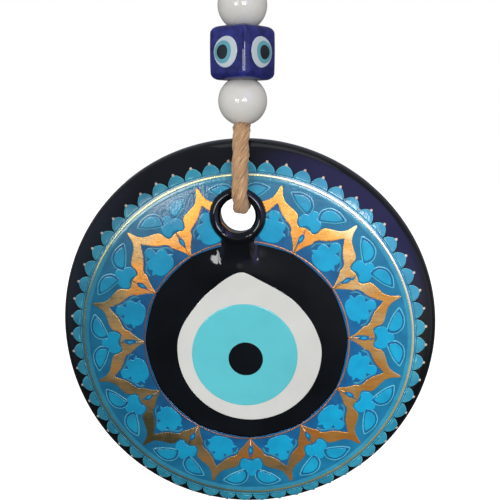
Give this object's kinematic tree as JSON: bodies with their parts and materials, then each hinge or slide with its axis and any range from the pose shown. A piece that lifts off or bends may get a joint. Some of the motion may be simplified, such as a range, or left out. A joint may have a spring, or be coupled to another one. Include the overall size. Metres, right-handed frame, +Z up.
{
  "type": "evil eye wall ornament",
  "caption": "Round dark glass amulet with an inlaid eye and a printed border, hung through its top hole from a jute rope with round beads and an eyed cube bead.",
  "frame": {"origin": "where the hanging loop bears on its nail, on the loop's inner top", "axes": "+Z up along the rope, the amulet's face towards -Y, its flat back towards +Y, +X to the right of someone facing the eye"},
  "size_m": [0.13, 0.028, 0.2373],
  "materials": {
    "dark_glass": "polished, opaque",
    "white_glass": "polished, opaque",
    "iris_glass": "polished, opaque",
    "bead_glass": "polished, milky, opaque",
    "cobalt_glass": "polished, deep blue",
    "print_ground": "glossy printed film",
    "print_teal": "glossy raised print",
    "gold_foil": "satin metallic foil",
    "jute": "coarse twisted fibre"
  },
  "bodies": {
    "hanger": {"hanging_loop": "jute", "knot": "jute", "cord_core": "jute", "cord_sling": "jute"},
    "amulet": {"glass_body": "dark_glass", "eye_white": "white_glass", "eye_iris": "iris_glass", "eye_pupil": "dark_glass", "print_film": "print_ground", "gold_ring": "gold_foil", "gold_field_line": "gold_foil", "gold_star": "gold_foil", "palmette_01": "print_teal", "palmette_02": "print_teal", "palmette_03": "print_teal", "palmette_04": "print_teal", "palmette_05": "print_teal", "palmette_06": "print_teal", "palmette_07": "print_teal", "palmette_08": "print_teal", "palmette_09": "print_teal", "palmette_10": "print_teal", "palmette_11": "print_teal", "palmette_12": "print_teal", "trefoil_01": "print_teal", "trefoil_02": "print_teal", "trefoil_03": "print_teal", "trefoil_04": "print_teal", "trefoil_05": "print_teal", "trefoil_06": "print_teal", "trefoil_07": "print_teal", "trefoil_08": "print_teal", "trefoil_09": "print_teal", "trefoil_10": "print_teal", "trefoil_11": "print_teal", "leaf_right_of_cord": "print_teal", "leaf_left_of_cord": "print_teal", "scallop_border": "print_teal"},
    "lower_bead": {"lower_bead": "bead_glass"},
    "cube_bead": {"cube_bead": "cobalt_glass", "cube_eye_white_1": "white_glass", "cube_eye_white_2": "white_glass", "cube_eye_white_3": "white_glass", "cube_eye_white_4": "white_glass", "cube_eye_iris_1": "iris_glass", "cube_eye_iris_2": "iris_glass", "cube_eye_iris_3": "iris_glass", "cube_eye_iris_4": "iris_glass", "cube_eye_pupil_1": "dark_glass", "cube_eye_pupil_2": "dark_glass", "cube_eye_pupil_3": "dark_glass", "cube_eye_pupil_4": "dark_glass"},
    "upper_bead": {"upper_bead": "bead_glass"}
  },
  "joints": [
    {"name": "amulet_swing", "type": "hinge", "parent": "hanger", "child": "amulet", "pos_m": [-0.0012, 0.0005, -0.1276], "axis": [0, 1, 0], "range_deg": [-12, 12]},
    {"name": "lower_bead_spin", "type": "hinge", "parent": "hanger", "child": "lower_bead", "pos_m": [0, 0, -0.0906], "axis": [0, 0, 1], "continuous": true},
    {"name": "cube_bead_spin", "type": "hinge", "parent": "hanger", "child": "cube_bead", "pos_m": [0, 0, -0.07565], "axis": [0, 0, 1], "continuous": true},
    {"name": "upper_bead_spin", "type": "hinge", "parent": "hanger", "child": "upper_bead", "pos_m": [0, 0, -0.0607], "axis": [0, 0, 1], "continuous": true}
  ]
}
